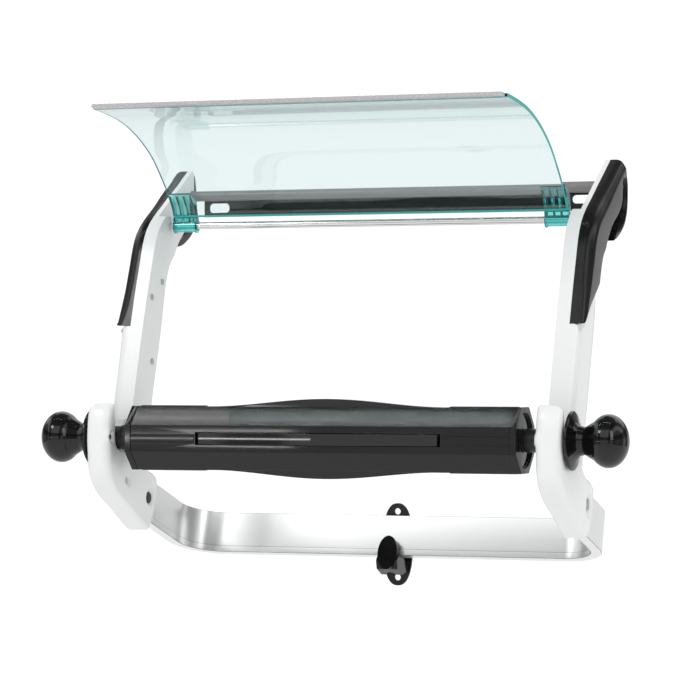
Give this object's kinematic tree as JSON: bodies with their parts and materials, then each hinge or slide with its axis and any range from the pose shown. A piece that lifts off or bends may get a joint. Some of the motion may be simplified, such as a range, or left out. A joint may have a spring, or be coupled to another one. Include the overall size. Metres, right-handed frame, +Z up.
{
  "type": "paper roll wall stand",
  "caption": "Wall stand for a jumbo paper roll: moulded side frames, metal band, lift-out octagonal core with bow springs and ball knobs, hinged clear tear guard.",
  "frame": {"origin": "centre of the wall rail's two slotted screw holes, on the wall plane", "axes": "+X along the wall to the right as seen from the room, +Y into the wall, +Z up"},
  "size_m": [0.639, 0.3312, 0.5091],
  "materials": {
    "white_plastic": "smooth moulded, satin gloss",
    "cradle_plastic": "smooth moulded, satin gloss",
    "cover_plastic": "glossy black moulding with a fine grain",
    "rail_paint": "gloss black powder coat",
    "bar_paint": "gloss black powder coat",
    "bracket_plastic": "glossy black moulding",
    "band_aluminium": "bright drawn, fine lengthwise lines",
    "rod_chrome": "polished plating",
    "screw_steel": "zinc plated",
    "bolt_steel": "black oxide, satin",
    "guard_tint": "clear turquoise sheet, polished",
    "clip_tint": "clear turquoise moulding, denser tint",
    "strip_clear": "smoky clear edge strip",
    "bush_plastic": "black bearing plastic",
    "axle_steel": "drawn steel",
    "core_plastic": "glossy black extrusion",
    "cap_plastic": "glossy black moulding",
    "spring_plastic": "glossy black strip",
    "knob_plastic": "polished black moulding"
  },
  "bodies": {
    "root": {"wall_rail": "rail_paint", "hanger_bar": "bar_paint", "lower_wall_bracket": "bracket_plastic", "cross_band": "band_aluminium", "left_upright": "white_plastic", "left_hook_cover": "cover_plastic", "left_upright_screws": "screw_steel", "left_cradle_inner": "cradle_plastic", "left_cradle_outer": "cradle_plastic", "left_cradle_screws": "screw_steel", "left_band_bolt": "bolt_steel", "right_upright": "white_plastic", "right_hook_cover": "cover_plastic", "right_upright_screws": "screw_steel", "right_cradle_inner": "cradle_plastic", "right_cradle_outer": "cradle_plastic", "right_cradle_screws": "screw_steel", "right_band_bolt": "bolt_steel", "guard_rod": "rod_chrome"},
    "guard": {"guard_sheet": "guard_tint", "left_guard_clip": "clip_tint", "right_guard_clip": "clip_tint", "tear_strip": "strip_clear"},
    "journals": {"left_bush": "bush_plastic", "right_bush": "bush_plastic"},
    "shaft": {"axle": "axle_steel", "core_tube": "core_plastic", "left_end_cap": "cap_plastic", "right_end_cap": "cap_plastic", "left_knob": "knob_plastic", "right_knob": "knob_plastic"},
    "top_spring": {"top_bow_spring": "spring_plastic"},
    "front_spring": {"front_bow_spring": "spring_plastic"},
    "bottom_spring": {"bottom_bow_spring": "spring_plastic"},
    "back_spring": {"back_bow_spring": "spring_plastic"}
  },
  "joints": [
    {"name": "guard_hinge", "type": "hinge", "parent": "root", "child": "guard", "pos_m": [0, -0.099, -0.0265], "axis": [-1, 0, 0], "range_deg": [-55, 45]},
    {"name": "shaft_lift", "type": "slide", "parent": "root", "child": "journals", "axis": [0, 0, 1], "range_m": [0, 0.1]},
    {"name": "shaft_spin", "type": "hinge", "parent": "journals", "child": "shaft", "pos_m": [0, -0.227, -0.254], "axis": [1, 0, 0], "continuous": true},
    {"name": "top_spring_press", "type": "slide", "parent": "shaft", "child": "top_spring", "axis": [0, 0, -1], "range_m": [0, 0.008], "stiffness_N_per_m": 2000},
    {"name": "front_spring_press", "type": "slide", "parent": "shaft", "child": "front_spring", "axis": [0, 1, 0], "range_m": [0, 0.008], "stiffness_N_per_m": 2000},
    {"name": "bottom_spring_press", "type": "slide", "parent": "shaft", "child": "bottom_spring", "axis": [0, 0, 1], "range_m": [0, 0.008], "stiffness_N_per_m": 2000},
    {"name": "back_spring_press", "type": "slide", "parent": "shaft", "child": "back_spring", "axis": [0, -1, 0], "range_m": [0, 0.008], "stiffness_N_per_m": 2000}
  ]
}
